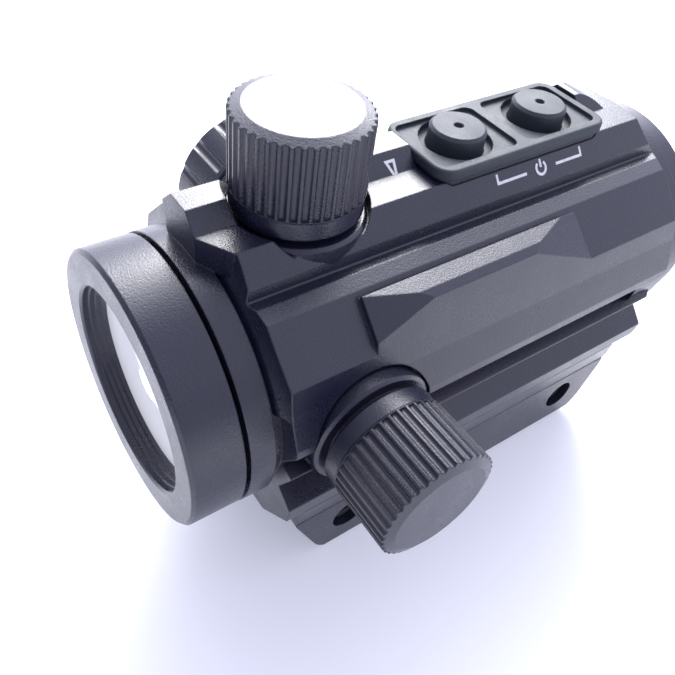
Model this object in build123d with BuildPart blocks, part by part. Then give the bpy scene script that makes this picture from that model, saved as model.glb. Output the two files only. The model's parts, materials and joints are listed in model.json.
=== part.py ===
"""Closed-tube electronic red dot sight with a 20 mm rail clamp, as separate pieces, in millimetres.

Frame: origin at the centre of the rail seat, +Z up, +Y towards the eyepiece and +X towards the
windage turret. Heights called h are measured from the optical axis.
"""

import math
import os

from build123d import *

os.makedirs("parts", exist_ok=True)

# ---- driving dimensions ------------------------------------------------------------------------
AXIS_Z = 28.7            # optical axis above the rail seat
RING_FACE_Y = -54.1      # front face of the objective ring
NECK_END_Y = -42.5       # where the neck meets the sculpted body
BODY_FRONT_Y = -41.0     # front face of the sculpted body at its outline
BODY_REAR_Y = 35.5       # end of the sculpted body
REAR_FACE_Y = 42.4       # rear face of the eyepiece ring
TURRET_Y = -28.7         # both turrets stand at this station

APERTURE_R = 14.5        # clear opening of both end rings
LENS_R = 15.0
RING_R = 19.7            # objective ring, outside
NECK_R = 19.8            # housing flange behind it
CORE_R = 18.5            # undercut between that flange and the body
EYE_RING_R = 19.5        # eyepiece ring, outside
SOCKET_R = 17.5          # threaded socket at each end of the housing
BORE_R = 16.6            # housing bore around the inner tube
THREAD_GAP = 0.1         # between a screwed-in ring and its socket
RUNNING_GAP = 0.06       # radial clearance of parts that turn or slide in each other

BUTTON_YS = (-2.0, 14.4)             # brightness buttons along the keypad
BUTTON_TOP_H = 27.0
BUTTON_R = 4.15
MOAT_R = 5.4
PAD_TOP_H = 25.4
PAD_BASE_H = 22.4
PAD_SIZE = (14.2, 33.4)              # keypad width and length
PAD_CENTRE_Y = 6.6
PAD_SKIRT = 1.5                      # set-in edge under the keypad's slab
PAD_INSET = 0.9                      # how much narrower and shorter it is than the slab
BUTTON_TRAVEL = 0.6

CAP_BASE_H = 23.05                   # turret cap, lower edge
CAP_EDGE_H = 35.6                    # turret cap, outer edge of its top
CAP_TOP_H = 36.2
CAP_R = 8.8
CAP_DISC_R = 7.16
CAP_BORE_R = 7.46
SPIGOT_R = 7.4                       # threaded turret stub under the cap
SPIGOT_TOP_H = 29.0
BOSS_R = 9.3
BOSS_TOP_H = 22.1
DIAL_FLOOR_H = 23.4                  # floor of the dial's pocket in the stub
DIAL_POCKET_R = 5.6
FLUTES = 40                          # grooves round a turret cap

BATTERY_Y = -17.1
BATTERY_Z = AXIS_Z + 2.8
BATTERY_R = 10.0
BATTERY_THICK = 3.2
BATTERY_CAP_R = 12.5
BATTERY_LOBES = 16                   # coarse grooves round the battery cap

RAIL_HALF = 10.6                     # half the rail's widest part
BASE_HALF = 18.0                     # outer faces of the clamp
JAW_TOP_Z = 4.5
JAW_BOTTOM_Z = -9.0
JAW_TOP_HALF_LENGTH = 36.8
JAW_BOTTOM_FRONT_Y = -30.4
JAW_BOTTOM_REAR_Y = 32.0
CLAMP_SCREW_Y = 25.7
CLAMP_SCREW_Z = -1.2
CLAMP_SCREW_R = 1.5
HEAD_R = 2.9                         # clamp screw's head, sunk in the jaw
HEAD_SEAT_X = 14.6
HEAD_TOP_X = 16.6

PIVOT_Y = 22.0                       # gimbal centre of the inner tube
TUBE_R = 14.4
PLUNGER_R = 2.0
PIN_R = 1.0

# ---- planes ------------------------------------------------------------------------------------
OPTIC = Plane((0, 0, AXIS_Z), x_dir=(1, 0, 0), z_dir=(0, 1, 0))
ELEVATION = Plane((0, TURRET_Y, AXIS_Z), x_dir=(1, 0, 0), z_dir=(0, 0, 1))
WINDAGE = Plane((0, TURRET_Y, AXIS_Z), x_dir=(0, 1, 0), z_dir=(1, 0, 0))
BATTERY_AXIS = Plane((0, BATTERY_Y, BATTERY_Z), x_dir=(0, 1, 0), z_dir=(-1, 0, 0))
TOP = Plane((0, 0, AXIS_Z))
SIDE = Plane((0, 0, 0), x_dir=(0, 1, 0), z_dir=(1, 0, 0))


def section_plane(y):
    """Plane across the sight at station y: its x is +X and its y is the height above the axis."""
    return Plane((0, y, AXIS_Z), x_dir=(1, 0, 0), z_dir=(0, -1, 0))


def turn(plane, *outline, mode=Mode.ADD):
    """Revolve a closed outline of (radius, distance along the plane's normal)."""
    profile_plane = Plane(plane.origin, x_dir=plane.x_dir, z_dir=-plane.y_dir)
    with BuildSketch(profile_plane) as profile:
        with BuildLine():
            Polyline(*outline, close=True)
        make_face()
    revolve(profile.sketch, axis=Axis(plane.origin, plane.z_dir), mode=mode)


def disc(plane, low, high, radius, mode=Mode.ADD):
    """Cylinder about the plane's normal between two distances along it."""
    with BuildSketch(plane.offset(low)) as profile:
        Circle(radius)
    extrude(profile.sketch, amount=high - low, mode=mode)


def tube(plane, low, high, outer, inner):
    """Plain ring about the plane's normal."""
    with BuildSketch(plane.offset(low)) as profile:
        Circle(outer)
        Circle(inner, mode=Mode.SUBTRACT)
    extrude(profile.sketch, amount=high - low)


def prism(plane, points, length, mode=Mode.ADD, both=False, soften=0.0):
    """Extrude a closed polygon drawn on a plane, with its corners rounded by the radius soften."""
    with BuildSketch(plane) as profile:
        with BuildLine():
            Polyline(*points, close=True)
        make_face()
        if soften > 0:
            fillet(profile.vertices(), soften)
    extrude(profile.sketch, amount=length, both=both, mode=mode)


def save(builder, name):
    """Label a finished piece and write its STEP file."""
    builder.part.label = name
    export_step(builder.part, f"parts/{name}.step")


# ---- main housing ------------------------------------------------------------------------------
# One side of the body's section, from the top shoulder down to the foot, as (x, h).
FLANK = (
    (6.35, 23.4), (9.2, 19.9), (9.5, 18.15), (11.2, 18.4), (13.5, 17.75),
    (19.455, 11.8), (20.2, 8.2), (21.9, 3.0), (21.9, 1.5),
    (18.2, -3.6), (20.9, -4.6), (17.8, -10.0), (20.8, -12.9), (20.4, -16.0),
)
RIB = ((-6.95, 23.4), (-4.5, 25.75), (-0.65, 25.75), (1.7, 23.4))
KEEL_H = -21.5
SECTION = (
    tuple((-x, h) for x, h in reversed(FLANK[1:]))
    + RIB
    + FLANK
    + ((14.0, KEEL_H), (-14.0, KEEL_H))
)

LOW_RIDGE = ((-20.4, -16.0), (-20.8, -12.9), (-17.8, -10.0), (17.8, -10.0), (20.8, -12.9), (20.4, -16.0))
LOW_RIDGE_END_Y = 37.2

# thumb shelves: a swelling on each flank behind the turrets, with slanting ends
SHELF = ((14.2, 17.0), (14.6, 17.8), (17.2, 17.5), (18.4, 16.9), (20.2, 8.2), (15.0, 8.2))
SHELF_START_Y = -28.1
SHELF_END_Y = 16.0


def thumb_shelf(side):
    """Swelling on one flank, cut by its two slanting planes."""
    with BuildPart() as shelf:
        prism(section_plane(SHELF_START_Y), [(side * x, h) for x, h in SHELF], SHELF_START_Y - SHELF_END_Y)
        front_cut = Plane((side * 15.0, SHELF_START_Y, AXIS_Z + 17.5), z_dir=(side * 0.679, -0.21, 0.70))
        split(bisect_by=front_cut, keep=Keep.BOTTOM)
        rear_cut = Plane((side * 14.4, 9.4, AXIS_Z + 17.5), z_dir=(side * 0.675, 0.224, 0.703))
        split(bisect_by=rear_cut, keep=Keep.BOTTOM)
    return shelf.part


SHELVES = [thumb_shelf(side) for side in (1, -1)]

# the rib reaches forward over the neck, with a slanting corner beside it
RIB_FRONT_Y = -43.8
with BuildPart() as rib_front:
    prism(section_plane(RIB_FRONT_Y), RIB + ((6.35, 23.4), (5.6, 19.0), (-6.0, 19.0)), RIB_FRONT_Y + 39.5,
          soften=0.2)
    corner_cut = Plane((4.0, -42.4, AXIS_Z), z_dir=(0.516, -0.857, 0))
    split(bisect_by=corner_cut, keep=Keep.BOTTOM)

with BuildPart() as main_housing:
    prism(section_plane(NECK_END_Y), SECTION, NECK_END_Y - BODY_REAR_Y, soften=0.25)
    add(SHELVES)

    # the lower body rakes back towards the foot at the front
    prism(SIDE, ((-45.0, AXIS_Z + 7.0), (BODY_FRONT_Y, AXIS_Z + 7.0), (-40.3, AXIS_Z - 13.5),
                 (-40.3, AXIS_Z + KEEL_H - 1), (-45.0, AXIS_Z + KEEL_H - 1)),
          30, both=True, mode=Mode.SUBTRACT)
    # both ends are turned: a hollow sweep up from the neck, and a shoulder down to the eyepiece
    with BuildSketch(Plane(OPTIC.origin, x_dir=(1, 0, 0), z_dir=(0, 0, 1))) as turned:
        with BuildLine():
            Line((0, NECK_END_Y), (CORE_R, NECK_END_Y))
            ThreePointArc((CORE_R, NECK_END_Y), (20.3, -41.4), (24.5, -40.9))
            Line((24.5, -40.9), (34.0, -40.6))
            Line((34.0, -40.6), (34.0, 31.6))
            Line((34.0, 31.6), (24.6, 31.6))
            ThreePointArc((24.6, 31.6), (21.9, 33.5), (20.3, BODY_REAR_Y))
            Line((20.3, BODY_REAR_Y), (0, BODY_REAR_Y))
            Line((0, BODY_REAR_Y), (0, NECK_END_Y))
        make_face()
    revolve(turned.sketch, axis=Axis(OPTIC.origin, OPTIC.z_dir), mode=Mode.INTERSECT)

    add(rib_front.part)
    # the lowest ridge on each flank runs on past the shoulder
    prism(section_plane(30.0), LOW_RIDGE, -(LOW_RIDGE_END_Y - 30.0), soften=0.25)
    prism(SIDE, ((LOW_RIDGE_END_Y - 1.0, AXIS_Z - 17.0), (LOW_RIDGE_END_Y + 0.1, AXIS_Z - 17.0),
                 (LOW_RIDGE_END_Y + 0.1, AXIS_Z - 14.6)), 30, both=True, mode=Mode.SUBTRACT)

    # the rib rounds off behind the keypad
    with BuildSketch(SIDE) as rib_end:
        with BuildLine():
            ThreePointArc((23.3, AXIS_Z + 25.9), (26.9, AXIS_Z + 24.95), (29.0, AXIS_Z + 23.4))
            Line((29.0, AXIS_Z + 23.4), (40.0, AXIS_Z + 23.4))
            Line((40.0, AXIS_Z + 23.4), (40.0, AXIS_Z + 25.9))
            Line((40.0, AXIS_Z + 25.9), (23.3, AXIS_Z + 25.9))
        make_face()
    extrude(rib_end.sketch, amount=12, both=True, mode=Mode.SUBTRACT)

    # necks
    disc(OPTIC, -46.1, NECK_END_Y, NECK_R)
    disc(OPTIC, NECK_END_Y, -35.5, CORE_R)
    turn(OPTIC, (0, 30), (20.3, 30), (20.3, 37.4), (19.9, 38.0), (0, 38.0))

    # pocket for the keypad's underside, and room round its slab where the rib stands higher
    with BuildSketch(TOP.offset(PAD_BASE_H)) as pad_pocket:
        with Locations((0, PAD_CENTRE_Y)):
            RectangleRounded(PAD_SIZE[0] - PAD_INSET + 0.2, PAD_SIZE[1] - PAD_INSET + 0.2, 2.4)
    extrude(pad_pocket.sketch, amount=2.0, mode=Mode.SUBTRACT)
    with BuildSketch(TOP.offset(PAD_BASE_H + PAD_SKIRT - 0.3)) as pad_room:
        with Locations((0, PAD_CENTRE_Y)):
            RectangleRounded(PAD_SIZE[0] + 0.3, PAD_SIZE[1] + 0.3, 2.85)
    extrude(pad_room.sketch, amount=3.0, mode=Mode.SUBTRACT)

    # battery tube on the far side
    disc(BATTERY_AXIS, 12.0, 23.8, 12.3)
    disc(BATTERY_AXIS, 23.0, 29.5, 11.0)

    # turret bosses, each in a round clearing
    disc(ELEVATION, 21.3, 30.0, 9.6, mode=Mode.SUBTRACT)
    disc(WINDAGE, 19.2, 30.0, 9.7, mode=Mode.SUBTRACT)
    for turret in (ELEVATION, WINDAGE):
        turn(turret, (0, 10), (BOSS_R, 10), (BOSS_R, BOSS_TOP_H - 0.4), (BOSS_R - 0.4, BOSS_TOP_H),
             (SPIGOT_R, BOSS_TOP_H), (SPIGOT_R, SPIGOT_TOP_H - 0.4), (SPIGOT_R - 0.4, SPIGOT_TOP_H),
             (0, SPIGOT_TOP_H))
        disc(turret, DIAL_FLOOR_H, SPIGOT_TOP_H, DIAL_POCKET_R, mode=Mode.SUBTRACT)
        disc(turret, 10.0, DIAL_FLOOR_H, 3.66, mode=Mode.SUBTRACT)
        disc(Plane(turret.from_local_coords((4.7, 0, 0)), x_dir=turret.x_dir, z_dir=turret.z_dir),
             21.4, DIAL_FLOOR_H, 0.8, mode=Mode.SUBTRACT)

    # bores and sockets
    disc(OPTIC, -46.1, -41.4, SOCKET_R, mode=Mode.SUBTRACT)
    disc(OPTIC, -42.0, 38.0, BORE_R, mode=Mode.SUBTRACT)
    disc(OPTIC, 33.4, 38.0, SOCKET_R, mode=Mode.SUBTRACT)
    disc(BATTERY_AXIS, 21.0, 29.5, BATTERY_R + 0.15, mode=Mode.SUBTRACT)
    with BuildSketch(TOP.offset(18.2)) as board_pocket:
        with Locations((0, 6.2)):
            RectangleRounded(10.4, 30.4, 1.0)
    extrude(board_pocket.sketch, amount=6.0, mode=Mode.SUBTRACT)

    # gimbal pin holes
    pivot = Plane((0, PIVOT_Y, AXIS_Z), x_dir=(0, 1, 0), z_dir=(1, 0, 0))
    disc(pivot, -18.2, 18.2, PIN_R + RUNNING_GAP, mode=Mode.SUBTRACT)

    # tapped holes for the base screws
    for x in (-7.0, 7.0):
        for y in (-15.0, 15.0):
            disc(Plane((x, y, 0)), AXIS_Z + KEEL_H - 1, 10.9, 1.25, mode=Mode.SUBTRACT)
save(main_housing, "main_housing")

# ---- objective end -----------------------------------------------------------------------------
RING_BACK_Y = -46.75
LENS_FRONT_Y = -50.6
STEP_RS = (14.45, 14.2, 13.95)           # fine steps in the mouth, down to the lens
STEP_YS = (-52.9, -52.1, -51.3)
with BuildPart() as objective_ring:
    turn(OPTIC, (APERTURE_R + 0.5, RING_FACE_Y), (RING_R - 0.5, RING_FACE_Y), (RING_R, RING_FACE_Y + 0.5),
         (RING_R, RING_BACK_Y), (SOCKET_R - THREAD_GAP, RING_BACK_Y), (SOCKET_R - THREAD_GAP, -41.6),
         (LENS_R + 0.05, -41.6), (LENS_R + 0.05, LENS_FRONT_Y), (STEP_RS[2], LENS_FRONT_Y),
         (STEP_RS[2], STEP_YS[2]), (STEP_RS[1], STEP_YS[2]), (STEP_RS[1], STEP_YS[1]),
         (STEP_RS[0], STEP_YS[1]), (STEP_RS[0], STEP_YS[0]), (APERTURE_R + 0.2, STEP_YS[0]),
         (APERTURE_R + 0.2, RING_FACE_Y + 0.3))
save(objective_ring, "objective_ring")


def lens(centre_front, edge_front, edge_back, centre_back, radius):
    """Round lens on the optical axis, its two faces given by centre and edge stations."""
    with BuildSketch(Plane(OPTIC.origin, x_dir=(1, 0, 0), z_dir=(0, 0, 1))) as profile:
        with BuildLine():
            ThreePointArc((-radius, edge_front), (0, centre_front), (radius, edge_front))
            Line((radius, edge_front), (radius, edge_back))
            ThreePointArc((radius, edge_back), (0, centre_back), (-radius, edge_back))
            Line((-radius, edge_back), (-radius, edge_front))
        make_face()
        split(bisect_by=Plane(OPTIC.origin, z_dir=(1, 0, 0)))
    revolve(profile.sketch, axis=Axis(OPTIC.origin, OPTIC.z_dir))


with BuildPart() as objective_lens:
    lens(-50.9, -50.5, -48.1, -48.4, LENS_R)
save(objective_lens, "objective_lens")

with BuildPart() as objective_lock_ring:
    tube(OPTIC, -48.05, -46.0, LENS_R, 13.6)
    for angle in (0, 180):
        slot = Plane(OPTIC.offset(-47.0).origin, x_dir=(math.cos(math.radians(angle)), 0,
                                                        math.sin(math.radians(angle))), z_dir=(0, 1, 0))
        prism(slot, ((13, -0.8), (16, -0.8), (16, 0.8), (13, 0.8)), 2.0, mode=Mode.SUBTRACT)
save(objective_lock_ring, "objective_lock_ring")


def oring(plane, ring_radius, thickness, distance):
    """Rubber ring of round section."""
    profile_plane = Plane(plane.origin, x_dir=plane.x_dir, z_dir=-plane.y_dir)
    with BuildSketch(profile_plane) as profile:
        with Locations((ring_radius, distance)):
            Circle(thickness / 2)
    revolve(profile.sketch, axis=Axis(plane.origin, plane.z_dir))


with BuildPart() as objective_seal:
    oring(OPTIC, 17.85, 0.6, (RING_BACK_Y - 46.1) / 2)
save(objective_seal, "objective_seal")

# ---- eyepiece end ------------------------------------------------------------------------------
with BuildPart() as eyepiece_ring:
    turn(OPTIC, (APERTURE_R, REAR_FACE_Y), (18.7, REAR_FACE_Y), (EYE_RING_R, 41.6), (EYE_RING_R, 38.4),
         (SOCKET_R - THREAD_GAP, 38.4), (SOCKET_R - THREAD_GAP, 33.6), (LENS_R + 0.05, 33.6),
         (LENS_R + 0.05, 39.6), (APERTURE_R, 39.6))
save(eyepiece_ring, "eyepiece_ring")

with BuildPart() as eyepiece_lens:
    lens(37.4, 37.2, 39.5, 39.8, LENS_R)
save(eyepiece_lens, "eyepiece_lens")

with BuildPart() as eyepiece_lock_ring:
    tube(OPTIC, 35.2, 37.15, LENS_R, 13.6)
    for side in (-1, 1):
        slot = Plane((0, 35.2, AXIS_Z), x_dir=(side, 0, 0), z_dir=(0, 1, 0))
        prism(slot, ((13, -0.8), (16, -0.8), (16, 0.8), (13, 0.8)), 1.0, mode=Mode.SUBTRACT)
save(eyepiece_lock_ring, "eyepiece_lock_ring")

with BuildPart() as eyepiece_seal:
    oring(OPTIC, 17.85, 0.36, 38.2)
save(eyepiece_seal, "eyepiece_seal")

# ---- inner tube and its gimbal -----------------------------------------------------------------
TUBE_FRONT_Y = -41.0
with BuildPart() as inner_tube:
    turn(OPTIC, (13.4, TUBE_FRONT_Y), (TUBE_R, TUBE_FRONT_Y), (TUBE_R, TURRET_Y - 5),
         (15.5, TURRET_Y - 5), (15.5, TURRET_Y + 5), (TUBE_R, TURRET_Y + 5), (TUBE_R, 17.0), (13.5, 17.5),
         (13.5, 26.0), (12.4, 26.0), (12.4, 8.0), (12.9, 7.0), (12.9, -33.8), (13.4, -33.8))
    # pads under the two adjusting plungers
    for turret in (ELEVATION, WINDAGE):
        prism(turret.offset(15.0), ((-16, -6), (16, -6), (16, 6), (-16, 6)), 2.0, mode=Mode.SUBTRACT)
    # window for the light source
    prism(OPTIC.offset(9.0), ((11.0, -1.6), (16.0, -1.6), (16.0, 1.6), (11.0, 1.6)), 4.0,
          mode=Mode.SUBTRACT)
    gimbal_pin_axis = Plane((0, PIVOT_Y, AXIS_Z))
    disc(gimbal_pin_axis, -14, 14, PIN_R, mode=Mode.SUBTRACT)
save(inner_tube, "inner_tube")

with BuildPart() as reflector_lens:
    lens(-39.3, -38.9, -34.0, -34.6, 13.35)
save(reflector_lens, "reflector_lens")

with BuildPart() as reflector_lock_ring:
    tube(OPTIC, TUBE_FRONT_Y + 0.1, -38.95, 13.35, 12.5)
save(reflector_lock_ring, "reflector_lock_ring")

with BuildPart() as tube_pins:
    for low in (12.6, -15.4):
        disc(gimbal_pin_axis, low, low + 2.8, PIN_R)
save(tube_pins, "tube_pins")

with BuildPart() as pivot_ring:
    tube(OPTIC, PIVOT_Y - 3, PIVOT_Y + 3, 15.8, 14.1)
    disc(gimbal_pin_axis, -17, 17, PIN_R + RUNNING_GAP, mode=Mode.SUBTRACT)
    disc(pivot, -17, 17, PIN_R, mode=Mode.SUBTRACT)
save(pivot_ring, "pivot_ring")

with BuildPart() as pivot_ring_pins:
    for low in (14.2, -17.9):
        disc(pivot, low, low + 3.7, PIN_R)
save(pivot_ring_pins, "pivot_ring_pins")

# light source in the tube's side, shining forward at the reflector
LED_AXIS = Plane((11.75, 0, AXIS_Z), x_dir=(1, 0, 0), z_dir=(0, 1, 0))
LED_R = 0.55
with BuildPart() as led_holder:
    prism(OPTIC.offset(9.1), ((11.1, -1.5), (15.3, -1.5), (15.3, 1.5), (11.1, 1.5)), 3.8)
    disc(LED_AXIS, 9.1, 10.6, LED_R, mode=Mode.SUBTRACT)
save(led_holder, "led_holder")

with BuildPart() as led_emitter:
    disc(LED_AXIS, 8.7, 10.6, LED_R)
    fillet(led_emitter.edges().group_by(Axis.Y)[0], 0.4)
save(led_emitter, "led_emitter")

# slightly bowed leaf behind the tube, opposite both plungers
with BuildPart() as tube_return_spring:
    leaf_out = Vector(-math.sqrt(0.5), 0, -math.sqrt(0.5))
    leaf_plane = Plane((0, TURRET_Y, AXIS_Z), x_dir=(0, 1, 0), z_dir=leaf_out.cross(Vector(0, 1, 0)) * -1)
    with BuildSketch(leaf_plane):
        with BuildLine():
            ThreePointArc((-7.5, 16.3), (0, 16.02), (7.5, 16.3))
            Line((7.5, 16.3), (7.5, 16.55))
            ThreePointArc((7.5, 16.55), (0, 16.27), (-7.5, 16.55))
            Line((-7.5, 16.55), (-7.5, 16.3))
        make_face()
    extrude(amount=1.4, both=True)
save(tube_return_spring, "tube_return_spring")

# ---- turret adjusters and caps -----------------------------------------------------------------
for turret, name in ((ELEVATION, "elevation"), (WINDAGE, "windage")):
    with BuildPart() as plunger:
        turn(turret, (0, 15.1), (1.2, 15.1), (PLUNGER_R, 15.7), (PLUNGER_R, 22.0), (0, 22.0))
    save(plunger, f"{name}_plunger")

    with BuildPart() as dial:
        turn(turret, (PLUNGER_R + RUNNING_GAP, 18.6), (3.6, 18.6), (3.6, DIAL_FLOOR_H + 0.1),
             (5.4, DIAL_FLOOR_H + 0.1), (5.4, 25.4), (3.9, 25.4), (3.9, 27.6), (0, 27.6), (0, 23.2),
             (PLUNGER_R + RUNNING_GAP, 23.2))
        prism(turret.offset(26.4), ((-4, -0.5), (4, -0.5), (4, 0.5), (-4, 0.5)), 2.0, mode=Mode.SUBTRACT)
    save(dial, f"{name}_dial")

    with BuildPart() as collar:
        tube(turret, 25.6, 27.6, DIAL_POCKET_R - 0.05, 4.1)
        for side in (-1, 1):
            prism(turret.offset(26.8), ((side * 4.0, -0.6), (side * 6.0, -0.6), (side * 6.0, 0.6),
                                        (side * 4.0, 0.6)), 1.0, mode=Mode.SUBTRACT)
    save(collar, f"{name}_collar")

    with BuildPart() as detent:
        detent_plane = Plane(turret.from_local_coords((4.7, 0, 0)), x_dir=turret.x_dir, z_dir=turret.z_dir)
        turn(detent_plane, (0, 21.5), (0.75, 21.5), (0.75, 22.9), (0.5, 23.25), (0, 23.4))
    save(detent, f"{name}_detent")

    with BuildPart() as cap:
        turn(turret, (8.2, CAP_BASE_H), (8.5, CAP_BASE_H), (8.65, CAP_BASE_H + 0.15), (8.65, 25.6),
             (CAP_R, 25.75), (CAP_R, CAP_EDGE_H), (CAP_DISC_R, CAP_TOP_H), (0, CAP_TOP_H), (0, 34.2),
             (CAP_BORE_R - 1.0, 34.2), (CAP_BORE_R, 33.2), (CAP_BORE_R, 24.0), (8.2, 24.0))
        with BuildSketch(turret.offset(25.9)) as flutes:
            with PolarLocations(CAP_R + 0.12, FLUTES):
                Circle(0.52)
        extrude(flutes.sketch, amount=11, mode=Mode.SUBTRACT)
    save(cap, f"{name}_cap")

    with BuildPart() as cap_oring:
        oring(turret, 7.86, 0.58, 23.6)
    save(cap_oring, f"{name}_cap_oring")

# ---- battery compartment -----------------------------------------------------------------------
with BuildPart() as battery_contact_plate:
    disc(BATTERY_AXIS, 21.05, 21.3, 7.5)
save(battery_contact_plate, "battery_contact_plate")

with BuildPart() as battery_contact_spring:
    turn(BATTERY_AXIS, (6.0, 21.3), (6.3, 21.3), (3.3, 22.6), (2.2, 22.6), (2.2, 22.4), (3.1, 22.4))
save(battery_contact_spring, "battery_contact_spring")

with BuildPart() as battery:
    disc(BATTERY_AXIS, 22.65, 22.65 + BATTERY_THICK, BATTERY_R)
    chamfer(battery.edges().filter_by(GeomType.CIRCLE).sort_by(Axis.X)[-1], 0.4)
    fillet(battery.edges().filter_by(GeomType.CIRCLE).sort_by(Axis.X)[0], 0.3)
save(battery, "battery")

with BuildPart() as battery_cap:
    turn(BATTERY_AXIS, (11.85, 24.0), (BATTERY_CAP_R - 0.3, 24.0), (BATTERY_CAP_R, 24.3),
         (BATTERY_CAP_R, 33.4), (BATTERY_CAP_R - 0.6, 34.0), (0, 34.0), (0, 26.0), (6.0, 26.0), (6.0, 30.0),
         (11.08, 30.0), (11.08, 24.9), (11.85, 24.9))
    with BuildSketch(BATTERY_AXIS.offset(25.2)) as lobes:
        with PolarLocations(BATTERY_CAP_R + 0.45, BATTERY_LOBES):
            Circle(1.05)
    extrude(lobes.sketch, amount=9.5, mode=Mode.SUBTRACT)
    prism(BATTERY_AXIS.offset(32.9), ((-8, -0.9), (8, -0.9), (8, 0.9), (-8, 0.9)), 2.0, mode=Mode.SUBTRACT)
save(battery_cap, "battery_cap")

with BuildPart() as battery_cap_oring:
    oring(BATTERY_AXIS, 11.46, 0.6, 24.45)
save(battery_cap_oring, "battery_cap_oring")

# ---- keypad and electronics --------------------------------------------------------------------
with BuildPart() as control_board:
    with BuildSketch(TOP.offset(18.3)) as board:
        with Locations((0, 6.2)):
            RectangleRounded(10.0, 30.0, 0.8)
    extrude(board.sketch, amount=1.0)
save(control_board, "control_board")

for button_y, name in zip(BUTTON_YS, ("down", "up")):
    station = Plane((0, button_y, AXIS_Z))
    with BuildPart() as switch:
        with BuildSketch(station.offset(19.3)) as case:
            RectangleRounded(5.2, 5.2, 0.5)
        extrude(case.sketch, amount=1.1)
        disc(station, 20.4, 20.95, 1.6)
    save(switch, f"{name}_switch")

    with BuildPart() as button:
        turn(station, (0, 21.65), (1.5, 21.65), (1.5, 22.6), (BUTTON_R - 0.1, 22.6), (BUTTON_R, 23.4),
             (BUTTON_R, BUTTON_TOP_H - 0.45), (BUTTON_R - 0.4, BUTTON_TOP_H), (0.75, BUTTON_TOP_H),
             (0.55, BUTTON_TOP_H - 0.5), (0, BUTTON_TOP_H - 0.5))
    save(button, f"brightness_{name}_button")

with BuildPart() as keypad:
    with BuildSketch(TOP.offset(PAD_BASE_H)) as underside:
        with Locations((0, PAD_CENTRE_Y)):
            RectangleRounded(PAD_SIZE[0] - PAD_INSET, PAD_SIZE[1] - PAD_INSET, 2.3)
    extrude(underside.sketch, amount=PAD_SKIRT)
    with BuildSketch(TOP.offset(PAD_BASE_H + PAD_SKIRT)) as slab:
        with Locations((0, PAD_CENTRE_Y)):
            RectangleRounded(*PAD_SIZE, 2.7)
    extrude(slab.sketch, amount=PAD_TOP_H - PAD_BASE_H - PAD_SKIRT)
    fillet(keypad.edges().group_by(Axis.Z)[-1], 0.5)
    # a shallow sunk field, and in it a round moat and a hole, for each button
    for field_y in BUTTON_YS:
        with BuildSketch(TOP.offset(PAD_TOP_H - 0.55)) as panel:
            with Locations((0, field_y)):
                RectangleRounded(11.4, 14.6, 1.4)
        extrude(panel.sketch, amount=1.0, mode=Mode.SUBTRACT)
        field = Plane((0, field_y, AXIS_Z))
        disc(field, PAD_TOP_H - 1.5, PAD_TOP_H + 1, MOAT_R, mode=Mode.SUBTRACT)
        disc(field, PAD_BASE_H - 1, PAD_TOP_H, BUTTON_R + 0.12, mode=Mode.SUBTRACT)
save(keypad, "keypad")

# ---- rail base and clamp -----------------------------------------------------------------------
BASE_TOP_Z = AXIS_Z - 16.13            # the base's upper edges, beside the housing's foot
SEAT_Z = AXIS_Z + KEEL_H - 0.04         # floor of the cradle the foot sits in
BASE_SECTION = (
    (20.3, BASE_TOP_Z), (BASE_HALF, JAW_TOP_Z), (10.8, JAW_TOP_Z), (10.8, 0.0), (-8.1, 0.0),
    (-RAIL_HALF - 0.35, -2.95), (-8.7, -5.2), (-8.7, JAW_BOTTOM_Z),
    (-16.9, JAW_BOTTOM_Z), (-BASE_HALF, JAW_BOTTOM_Z + 1.1), (-BASE_HALF, JAW_TOP_Z),
    (-20.3, BASE_TOP_Z), (-14.0, SEAT_Z), (14.0, SEAT_Z),
)
# side view of the base: raked front and rear, and the jaws' slanted ends
BASE_OUTLINE = (
    (-37.6, 36.0), (-JAW_TOP_HALF_LENGTH, JAW_TOP_Z), (JAW_BOTTOM_FRONT_Y, JAW_BOTTOM_Z),
    (JAW_BOTTOM_REAR_Y, JAW_BOTTOM_Z), (JAW_TOP_HALF_LENGTH, JAW_TOP_Z), (18.0, 36.0),
)
GROUND = Plane((0, 50, 0), x_dir=(1, 0, 0), z_dir=(0, -1, 0))


def cross_screw_hole(y, low, high, radius):
    """Hole along X for a clamp screw."""
    disc(Plane((0, y, CLAMP_SCREW_Z), x_dir=(0, 1, 0), z_dir=(1, 0, 0)), low, high, radius,
         mode=Mode.SUBTRACT)


with BuildPart() as rail_base:
    prism(GROUND, BASE_SECTION, 100, soften=0.3)
    prism(SIDE, BASE_OUTLINE, 30, both=True, mode=Mode.INTERSECT, soften=6.5)
    for y in (-CLAMP_SCREW_Y, CLAMP_SCREW_Y):
        cross_screw_hole(y, -20, -7, CLAMP_SCREW_R + RUNNING_GAP)
        # groove over each cross screw, where it takes up half of the rail's slot
        prism(GROUND.offset(50 - y - 1.8), ((-8.5, -0.5), (12, -0.5), (12, 0.6), (-8.5, 0.6)), 3.6,
              mode=Mode.SUBTRACT)
    for x in (-7.0, 7.0):
        for y in (-15.0, 15.0):
            station = Plane((x, y, 0))
            disc(station, 0, 8, 1.4, mode=Mode.SUBTRACT)
            turn(station, (0, 0), (2.6, 0), (1.4, 1.2), (0, 1.2), mode=Mode.SUBTRACT)
save(rail_base, "rail_base")

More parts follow.
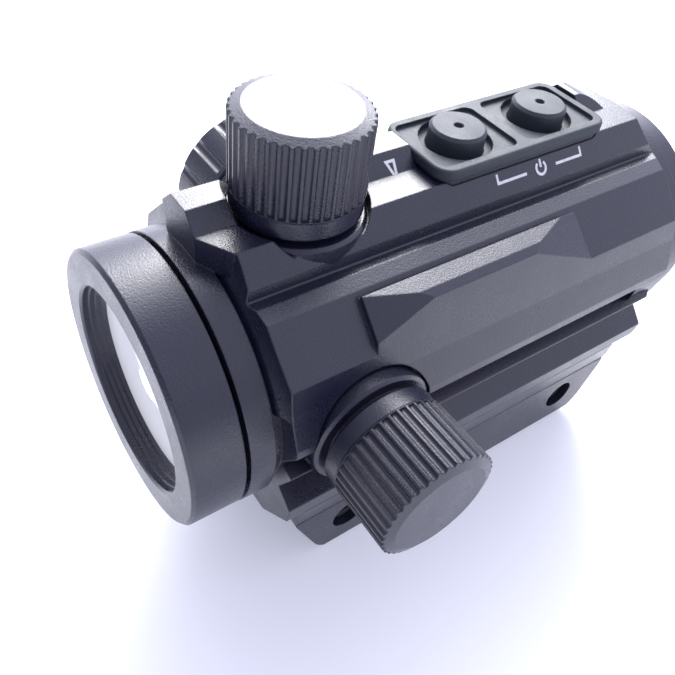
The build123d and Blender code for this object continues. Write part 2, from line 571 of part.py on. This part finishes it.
JAW_SECTION = (
    (BASE_HALF, JAW_TOP_Z - 0.15), (10.95, JAW_TOP_Z - 0.15), (10.95, -2.95), (8.7, -5.2),
    (8.7, JAW_BOTTOM_Z), (BASE_HALF - 1.1, JAW_BOTTOM_Z), (BASE_HALF, JAW_BOTTOM_Z + 1.1),
)
with BuildPart() as clamp_jaw:
    prism(GROUND, JAW_SECTION, 100, soften=0.3)
    prism(SIDE, BASE_OUTLINE, 30, both=True, mode=Mode.INTERSECT, soften=6.5)
    for y in (-CLAMP_SCREW_Y, CLAMP_SCREW_Y):
        cross_screw_hole(y, 8, 20, CLAMP_SCREW_R + RUNNING_GAP)
        cross_screw_hole(y, HEAD_SEAT_X, 20, HEAD_R + 0.25)
save(clamp_jaw, "clamp_jaw")

for y, name in ((-CLAMP_SCREW_Y, "front"), (CLAMP_SCREW_Y, "rear")):
    screw_axis = Plane((0, y, CLAMP_SCREW_Z), x_dir=(0, 1, 0), z_dir=(1, 0, 0))
    with BuildPart() as clamp_screw:
        turn(screw_axis, (0, -17.0), (CLAMP_SCREW_R - 0.4, -17.0), (CLAMP_SCREW_R, -16.6),
             (CLAMP_SCREW_R, HEAD_SEAT_X + 0.05), (HEAD_R, HEAD_SEAT_X + 0.05), (HEAD_R, HEAD_TOP_X - 0.3),
             (HEAD_R - 0.3, HEAD_TOP_X), (0, HEAD_TOP_X))
        with BuildSketch(screw_axis.offset(HEAD_TOP_X - 1.4)) as socket:
            RegularPolygon(1.45, 6)
        extrude(socket.sketch, amount=2.0, mode=Mode.SUBTRACT)
    save(clamp_screw, f"{name}_clamp_screw")

with BuildPart() as base_screws:
    for x in (-7.0, 7.0):
        for y in (-15.0, 15.0):
            station = Plane((x, y, 0))
            turn(station, (0, 0.1), (2.45, 0.1), (1.2, 1.35), (1.2, 10.6), (0, 10.6))
            with BuildSketch(station.offset(0.1)) as socket:
                RegularPolygon(0.8, 6)
            extrude(socket.sketch, amount=1.0, mode=Mode.SUBTRACT)
save(base_screws, "base_screws")
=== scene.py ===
"""Looks for the rail-mount red dot sight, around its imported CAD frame.

Everything is in metres in the frame of the CAD: x to the windage side, y to the eyepiece, z up.
"""

import json
import math

import bpy
from mathutils import Matrix, Vector


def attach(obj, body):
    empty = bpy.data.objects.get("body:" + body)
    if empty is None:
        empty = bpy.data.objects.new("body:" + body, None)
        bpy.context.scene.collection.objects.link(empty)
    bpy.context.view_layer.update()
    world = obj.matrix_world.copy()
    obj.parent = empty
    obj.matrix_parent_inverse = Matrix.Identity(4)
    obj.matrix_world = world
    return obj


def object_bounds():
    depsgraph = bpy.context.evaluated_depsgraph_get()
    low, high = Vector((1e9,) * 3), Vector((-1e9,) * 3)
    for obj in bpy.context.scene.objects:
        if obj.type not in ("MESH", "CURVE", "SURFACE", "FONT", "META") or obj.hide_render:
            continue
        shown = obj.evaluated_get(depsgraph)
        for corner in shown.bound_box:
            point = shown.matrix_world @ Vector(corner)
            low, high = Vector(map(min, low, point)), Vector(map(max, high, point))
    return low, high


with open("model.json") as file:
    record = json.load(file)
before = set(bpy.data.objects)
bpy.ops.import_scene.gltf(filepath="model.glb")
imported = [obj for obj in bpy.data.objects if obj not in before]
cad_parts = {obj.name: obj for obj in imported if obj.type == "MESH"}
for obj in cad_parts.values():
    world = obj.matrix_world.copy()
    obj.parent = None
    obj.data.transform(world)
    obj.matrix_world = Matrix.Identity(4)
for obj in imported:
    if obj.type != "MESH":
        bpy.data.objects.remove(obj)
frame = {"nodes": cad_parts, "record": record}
CAD_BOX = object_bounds()
NODES = frame["nodes"]
scene = bpy.context.scene
MM = 0.001


# ---- shared helpers ------------------------------------------------------------------------------
def add_mesh(name, points, faces, material):
    """Mesh object in the scene with one material."""
    mesh = bpy.data.meshes.new(name)
    mesh.from_pydata(points, [], faces)
    mesh.materials.append(material)
    piece = bpy.data.objects.new(name, mesh)
    scene.collection.objects.link(piece)
    return piece


def add_node(tree, kind, **inputs):
    """Node with its named inputs set to plain values."""
    node = tree.nodes.new(kind)
    for socket, value in inputs.items():
        node.inputs[socket.replace("_", " ")].default_value = value
    return node


def maths(tree, operation, first, *others):
    """Math node fed by a socket and then plain numbers or sockets; returns its output."""
    node = tree.nodes.new("ShaderNodeMath")
    node.operation = operation
    tree.links.new(first, node.inputs[0])
    for index, other in enumerate(others, start=1):
        if isinstance(other, bpy.types.NodeSocket):
            tree.links.new(other, node.inputs[index])
        else:
            node.inputs[index].default_value = other
    return node.outputs[0]


def mix_colours(tree, factor, start, end):
    """Colour that runs from start to end as the factor's socket goes from 0 to 1; returns its output."""
    node = tree.nodes.new("ShaderNodeMix")
    node.data_type = "RGBA"
    node.inputs[6].default_value = (*start, 1.0)
    node.inputs[7].default_value = (*end, 1.0)
    tree.links.new(factor, node.inputs[0])
    return node.outputs[2]


def noise(tree, **inputs):
    """Noise fixed to the object; returns its output."""
    place = tree.nodes.new("ShaderNodeTexCoord")
    node = add_node(tree, "ShaderNodeTexNoise", **inputs)
    tree.links.new(place.outputs["Object"], node.inputs["Vector"])
    return node.outputs["Fac"]


def scaled(colour, factor):
    """Colour with each channel scaled."""
    return tuple(factor * channel for channel in colour)


# ---- camera --------------------------------------------------------------------------------------
CAMERA_AT = Vector((0.0638, -0.0735, 0.1072))
CAMERA_LOOK = Vector((-0.5292, 0.4575, -0.7146))
CAMERA_UP = Vector((-0.6320, 0.3494, 0.6917))
FOCAL_MM = 39.39
SENSOR_MM = 36.0
NEAR_CLIP = 5 * MM


def add_camera():
    """Camera at the hand-held, close viewpoint, looking down the front right corner."""
    back = -CAMERA_LOOK.normalized()
    right = CAMERA_UP.cross(back).normalized()
    up = back.cross(right)
    data = bpy.data.cameras.new("camera")
    data.lens = FOCAL_MM
    data.sensor_width = SENSOR_MM
    data.clip_start = NEAR_CLIP
    camera = bpy.data.objects.new("camera", data)
    turn = Matrix((right, up, back)).transposed().to_4x4()
    camera.matrix_world = Matrix.Translation(CAMERA_AT) @ turn
    scene.collection.objects.link(camera)
    scene.camera = camera


# ---- light and floor -----------------------------------------------------------------------------
GLOW_FROM = (-0.646, 0.487, 0.588)
GLOW_POWER = 9.0
GLOW_PEAK = 8.5
WALL_FROM = (0.61, 0.61, 0.5)  # a lit wall behind on the right
WALL_POWER = 3.0
WALL_PEAK = 0.8
SKY_SIDE = 0.66                # sky strength square to the glow
SKY_TILT = 0.40                # how much it gains towards the glow and loses away from it
SKY_COLOUR = (0.79, 0.81, 1.0)
GLOW_COLOUR = (0.97, 0.97, 1.0)
WINDOW_AT = Vector((-0.355, 0.268, 0.323))
WINDOW_AIM = Vector((0, 0, 0.02))
WINDOW_SIZE = (0.34, 0.28)
WINDOW_WATTS = 3.4
FLOOR_HALF = 3.0
FLOOR_COLOUR = (0.74, 0.74, 0.76)
FLOOR_ROUGHNESS = 0.8
FLOOR_GLOW = 0.36              # faint light of its own, which keeps the shadows open


def facing(tree, place, direction):
    """How squarely each point of the sky lies towards a direction, from -1 to 1."""
    node = tree.nodes.new("ShaderNodeVectorMath")
    node.operation = "DOT_PRODUCT"
    node.inputs[1].default_value = Vector(direction).normalized()
    tree.links.new(place.outputs["Generated"], node.inputs[0])
    return node.outputs["Value"]


def add_sky():
    """Even sky with a broad, soft glow behind on the left and a fainter one behind on the right."""
    world = bpy.data.worlds.new("studio")
    scene.world = world
    world.use_nodes = True
    tree = world.node_tree
    background = tree.nodes["Background"]
    place = tree.nodes.new("ShaderNodeTexCoord")
    to_glow = facing(tree, place, GLOW_FROM)
    to_wall = facing(tree, place, WALL_FROM)
    glow = maths(tree, "POWER", maths(tree, "MAXIMUM", to_glow, 0.0), GLOW_POWER)
    wall = maths(tree, "POWER", maths(tree, "MAXIMUM", to_wall, 0.0), WALL_POWER)
    strength = maths(tree, "MULTIPLY_ADD", to_glow, SKY_TILT, SKY_SIDE)
    strength = maths(tree, "MULTIPLY_ADD", wall, WALL_PEAK, strength)
    strength = maths(tree, "MULTIPLY_ADD", glow, GLOW_PEAK, strength)
    tree.links.new(strength, background.inputs["Strength"])
    tree.links.new(mix_colours(tree, glow, SKY_COLOUR, GLOW_COLOUR), background.inputs["Color"])


def add_window():
    """One near, large, soft light, so the floor dims away from it."""
    data = bpy.data.lights.new("window", "AREA")
    data.shape = "RECTANGLE"
    data.size, data.size_y = WINDOW_SIZE
    data.energy = WINDOW_WATTS
    light = bpy.data.objects.new("window", data)
    light.location = WINDOW_AT
    light.rotation_euler = (WINDOW_AIM - WINDOW_AT).to_track_quat("-Z", "Y").to_euler()
    scene.collection.objects.link(light)


def add_floor():
    """Plain pale floor at the object's lowest point."""
    material, _, _ = principled("floor", FLOOR_COLOUR, FLOOR_ROUGHNESS,
                                Emission_Color=(*SKY_COLOUR, 1.0), Emission_Strength=FLOOR_GLOW)
    floor_z = CAD_BOX[0][2]
    signs = ((-1, -1), (1, -1), (1, 1), (-1, 1))
    corners = [(x * FLOOR_HALF, y * FLOOR_HALF, floor_z) for x, y in signs]
    add_mesh("floor", corners, [(0, 1, 2, 3)], material)


# ---- materials -----------------------------------------------------------------------------------
EDGE_RADIUS = 0.28 * MM        # shading radius of the broken edges
EDGE_SAMPLES = 4
GRAIN_DEPTH = 0.06 * MM
PATCH_SCALE = 160.0            # of the broad variation in gloss
DARK_GRAIN = 0.8               # how far the grain's colour goes either side of the finish's own
PALE_GRAIN = 1.25
GLASS_SMEAR = (0.02, 0.08)     # roughness of the glass at its cleanest and at its most smeared
SMEAR_SCALE = 60.0
INK_MOTTLE = 2600.0
INK_WORN = 0.72                # how dark the ink goes in its mottle


def principled(name, colour, roughness, metallic=0.0, **sockets):
    """New material with a Principled shader; returns (material, node tree, shader)."""
    material = bpy.data.materials.new(name)
    material.use_nodes = True
    tree = material.node_tree
    shader = tree.nodes["Principled BSDF"]
    shader.inputs["Base Color"].default_value = (*colour, 1.0)
    shader.inputs["Roughness"].default_value = roughness
    shader.inputs["Metallic"].default_value = metallic
    for socket, value in sockets.items():
        shader.inputs[socket.replace("_", " ")].default_value = value
    return material, tree, shader


def speckled(name, colour, roughness, grain=3800.0, bump=0.65, spread=0.10, **sockets):
    """Blasted surface: a fine grain in the bump and the roughness, with faint broad variation."""
    material, tree, shader = principled(name, colour, roughness, **sockets)
    fine = noise(tree, Scale=grain, Detail=2.0, Roughness=0.6)
    broad = noise(tree, Scale=PATCH_SCALE, Detail=4.0, Roughness=0.55)
    rough = add_node(tree, "ShaderNodeMapRange", From_Min=0.6, From_Max=1.4,
                     To_Min=roughness - spread, To_Max=roughness + spread)
    tree.links.new(maths(tree, "ADD", fine, broad), rough.inputs["Value"])
    tree.links.new(rough.outputs["Result"], shader.inputs["Roughness"])
    tint = mix_colours(tree, fine, scaled(colour, DARK_GRAIN), scaled(colour, PALE_GRAIN))
    tree.links.new(tint, shader.inputs["Base Color"])
    eased = add_node(tree, "ShaderNodeBevel", Radius=EDGE_RADIUS)
    eased.samples = EDGE_SAMPLES
    bumps = add_node(tree, "ShaderNodeBump", Strength=bump, Distance=GRAIN_DEPTH)
    tree.links.new(eased.outputs["Normal"], bumps.inputs["Normal"])
    tree.links.new(fine, bumps.inputs["Height"])
    tree.links.new(bumps.outputs["Normal"], shader.inputs["Normal"])
    return material


def lens_glass(name, tint, mirror, clear, painted_glow=0.0):
    """Glass under a half-mirror coating. Where it neither mirrors nor passes light, it shows its tint as a
    flat pale colour; on the front glass this is a painted reflection of the pale floor.

    The last argument sets a painted glow: faint light of the glass's own, standing in for light seen
    through the tube.
    """
    material, tree, shader = principled(
        name, tint, GLASS_SMEAR[0], metallic=mirror, IOR=1.9, Transmission_Weight=clear,
        Emission_Color=(*tint, 1.0), Emission_Strength=painted_glow)
    smear = add_node(tree, "ShaderNodeMapRange", To_Min=GLASS_SMEAR[0], To_Max=GLASS_SMEAR[1])
    tree.links.new(noise(tree, Scale=SMEAR_SCALE, Detail=2.0), smear.inputs["Value"])
    tree.links.new(smear.outputs["Result"], shader.inputs["Roughness"])
    return material


def paint(name, colour):
    """Matt printing ink with a faint mottle."""
    material, tree, shader = principled(name, colour, 0.6)
    mottle = noise(tree, Scale=INK_MOTTLE, Detail=3.0)
    worn = scaled(colour, INK_WORN)
    tree.links.new(mix_colours(tree, mottle, worn, colour), shader.inputs["Base Color"])
    return material


def make_materials():
    """One finish for each material slot of the record, and the front glass, whose pale colour is a painted
    reflection and whose glow is painted light.
    """
    return {
        "black_anodised": speckled("black_anodised", (0.009, 0.0095, 0.026), 0.31, IOR=1.60),
        "inner_anodised": speckled("inner_anodised", (0.012, 0.012, 0.014), 0.5, bump=0.2),
        "coated_glass": lens_glass("coated_glass", (0.72, 0.78, 1.0), 0.2, 1.0),
        # front glass: its pale flat colour is a painted reflection, and its glow is painted light
        "objective_glass_painted_glow": lens_glass("objective_glass_painted_glow", (0.95, 0.95, 1.0), 0.35, 0.05, 0.30),
        "seal_rubber": speckled("seal_rubber", (0.01, 0.01, 0.01), 0.5, grain=1500.0, bump=0.1),
        "keypad_rubber": speckled("keypad_rubber", (0.030, 0.038, 0.050), 0.6, grain=3500.0, bump=0.3),
        "black_steel": speckled("black_steel", (0.03, 0.03, 0.032), 0.32, grain=2500.0, bump=0.1),
        "bright_steel": speckled("bright_steel", (0.6, 0.61, 0.63), 0.3, grain=1500.0, bump=0.1,
                                 metallic=1.0),
        "dial_brass": speckled("dial_brass", (0.72, 0.5, 0.22), 0.32, grain=1500.0, bump=0.1, metallic=1.0),
        "circuit_board": speckled("circuit_board", (0.02, 0.16, 0.07), 0.3, grain=900.0, bump=0.1),
        "moulded_plastic": speckled("moulded_plastic", (0.03, 0.03, 0.034), 0.45, grain=2000.0, bump=0.2),
        "led_epoxy": speckled("led_epoxy", (0.7, 0.03, 0.03), 0.15, grain=800.0, bump=0.0),
    }


NODE_FINISH = {"objective_lens": "objective_glass_painted_glow"}    # nodes with a finish other than their slot's


def dress_nodes(materials):
    """Give every CAD node its slot's finish."""
    for part in frame["record"]["subparts"]:
        node = NODES[part["node"]]
        node.data.materials.clear()
        finish = NODE_FINISH.get(part["node"], part["material_slot"])
        node.data.materials.append(materials[finish])


# ---- printed marks -------------------------------------------------------------------------------
ROOF_Z = 52.1 * MM             # where the roof's slanting faces start or end
MARK_LIFT = 0.03 * MM          # how far the ink stands off its surface
MARK_WIDTH = 0.42              # of a printed line, in mm
SHARPEST_MITRE = 0.4           # keeps the corners of a line from reaching far out
SLOPE_AT = Vector((6.35 * MM, 0.0, ROOF_Z))             # upper edge of the slope beside the keypad
SLOPE_DOWN = Vector((0.631, 0.0, -0.776))
RIB_AT = Vector((1.7 * MM, 0.0, ROOF_Z))                # foot of the rib's slanting side
RIB_DOWN = Vector((0.707, 0.0, -0.707))
# the marks' lines are points of (station along the body, distance down the slope), in mm
BRACKETS = (
    ((0.2, 1.15), (0.2, 2.45), (5.9, 2.45)),
    ((12.0, 2.45), (17.5, 2.45), (17.5, 1.15)),
)
POWER_AT = (8.9, 2.3)
POWER_R = 0.95
POWER_GAP = 40                 # half the gap at the top of the power sign's ring, in degrees
POWER_STEP = 14
POWER_BAR = (-1.35, -0.1)      # ends of its bar, in ring radii from the centre
WEDGE = ((-14.85, -1.9), (-13.55, -1.9), (-13.75, 0.0), (-14.15, 0.0))


def stroke(points, width, closed=False):
    """Ribbon of even width along a line with mitred corners; returns its corner points and faces."""
    corners = []
    faces = []
    count = len(points)
    for index, point in enumerate(points):
        before = points[index - 1] if (closed or index > 0) else None
        after = points[(index + 1) % count] if (closed or index < count - 1) else None
        here = Vector(point)
        ways = []
        if before is not None:
            ways.append((here - Vector(before)).normalized())
        if after is not None:
            ways.append((Vector(after) - here).normalized())
        along = sum(ways, Vector((0.0, 0.0))).normalized()
        side = Vector((-along.y, along.x))
        mitre = abs(side.dot(Vector((-ways[0].y, ways[0].x))))
        reach = width / 2 / max(SHARPEST_MITRE, mitre)
        corners += [here + side * reach, here - side * reach]
    spans = count if closed else count - 1
    for index in range(spans):
        low, high = 2 * index, 2 * ((index + 1) % count)
        faces.append((low, low + 1, high + 1, high))
    return corners, faces


def add_mark(name, at, down, lines, material):
    """Printed lines on a sloping plane of the body, as one thin piece riding on the housing."""
    along = Vector((0.0, 1.0, 0.0))
    normal = along.cross(down)
    if normal.z < 0:
        normal = -normal
    points = []
    faces = []
    for line, closed in lines:
        corners, quads = stroke(line, MARK_WIDTH, closed)
        start = len(points)
        points += [at + MM * (along * c.x + down * c.y) + normal * MARK_LIFT for c in corners]
        faces += [tuple(start + corner for corner in quad) for quad in quads]
    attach(add_mesh(name, points, faces, material), "root")


def add_marks():
    """Brackets and a plain power sign beside the keypad, and a wedge on the rib."""
    ink = paint("white_ink", (0.86, 0.86, 0.9))
    station, depth = POWER_AT
    end = 180 - POWER_GAP
    turns = [math.radians(degrees) for degrees in range(-end, end + 1, POWER_STEP)]
    arc = [(station + POWER_R * math.sin(turn), depth + POWER_R * math.cos(turn)) for turn in turns]
    bar = [(station, depth + POWER_R * reach) for reach in POWER_BAR]
    add_mark("keypad_marks", SLOPE_AT, SLOPE_DOWN,
             [(line, False) for line in BRACKETS] + [(arc, False), (bar, False)], ink)
    add_mark("rib_mark", RIB_AT, RIB_DOWN, [(WEDGE, True)], ink)


# ---- dial scales, seen when the turret caps are off ----------------------------------------------
DIAL_TICKS = 36
LONG_EVERY = 3
LONG_TICK = 1.1 * MM
SHORT_TICK = 0.6 * MM
TICK_HALF_WIDTH = 0.07 * MM
TICK_MARGIN = 0.4 * MM         # from the dial's rim


def node_box(node):
    """Lowest and highest corners of a node's mesh in the row frame."""
    places = [node.matrix_world @ vertex.co for vertex in node.data.vertices]
    low = Vector([min(place[axis] for place in places) for axis in range(3)])
    high = Vector([max(place[axis] for place in places) for axis in range(3)])
    return low, high


def add_dial_scale(name, node_name, axis, ink):
    """Ring of fine radial ticks on the outer face of an adjuster dial, riding on that dial."""
    low, high = node_box(NODES[node_name])
    face = (low + high) / 2
    face[axis] = high[axis] + MARK_LIFT
    first = Vector((0.0, 1.0, 0.0))
    second = Vector((1.0, 0.0, 0.0)) if axis == 2 else Vector((0.0, 0.0, 1.0))
    outer = (high.y - low.y) / 2 - TICK_MARGIN
    points = []
    faces = []
    for tick in range(DIAL_TICKS):
        angle = math.tau * tick / DIAL_TICKS
        out = first * math.cos(angle) + second * math.sin(angle)
        side = second * math.cos(angle) - first * math.sin(angle)
        inner = outer - (LONG_TICK if tick % LONG_EVERY == 0 else SHORT_TICK)
        start = len(points)
        for radius, way in ((inner, -1), (outer, -1), (outer, 1), (inner, 1)):
            points.append(face + out * radius + side * (TICK_HALF_WIDTH * way))
        faces.append((start, start + 1, start + 2, start + 3))
    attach(add_mesh(name, points, faces, ink), node_name)


scene.view_settings.view_transform = "Standard"
add_camera()
add_sky()
add_window()
add_floor()
dress_nodes(make_materials())
add_marks()
BLACK_INK = paint("black_ink", (0.02, 0.02, 0.02))
add_dial_scale("elevation_scale", "elevation_dial", 2, BLACK_INK)
add_dial_scale("windage_scale", "windage_dial", 0, BLACK_INK)
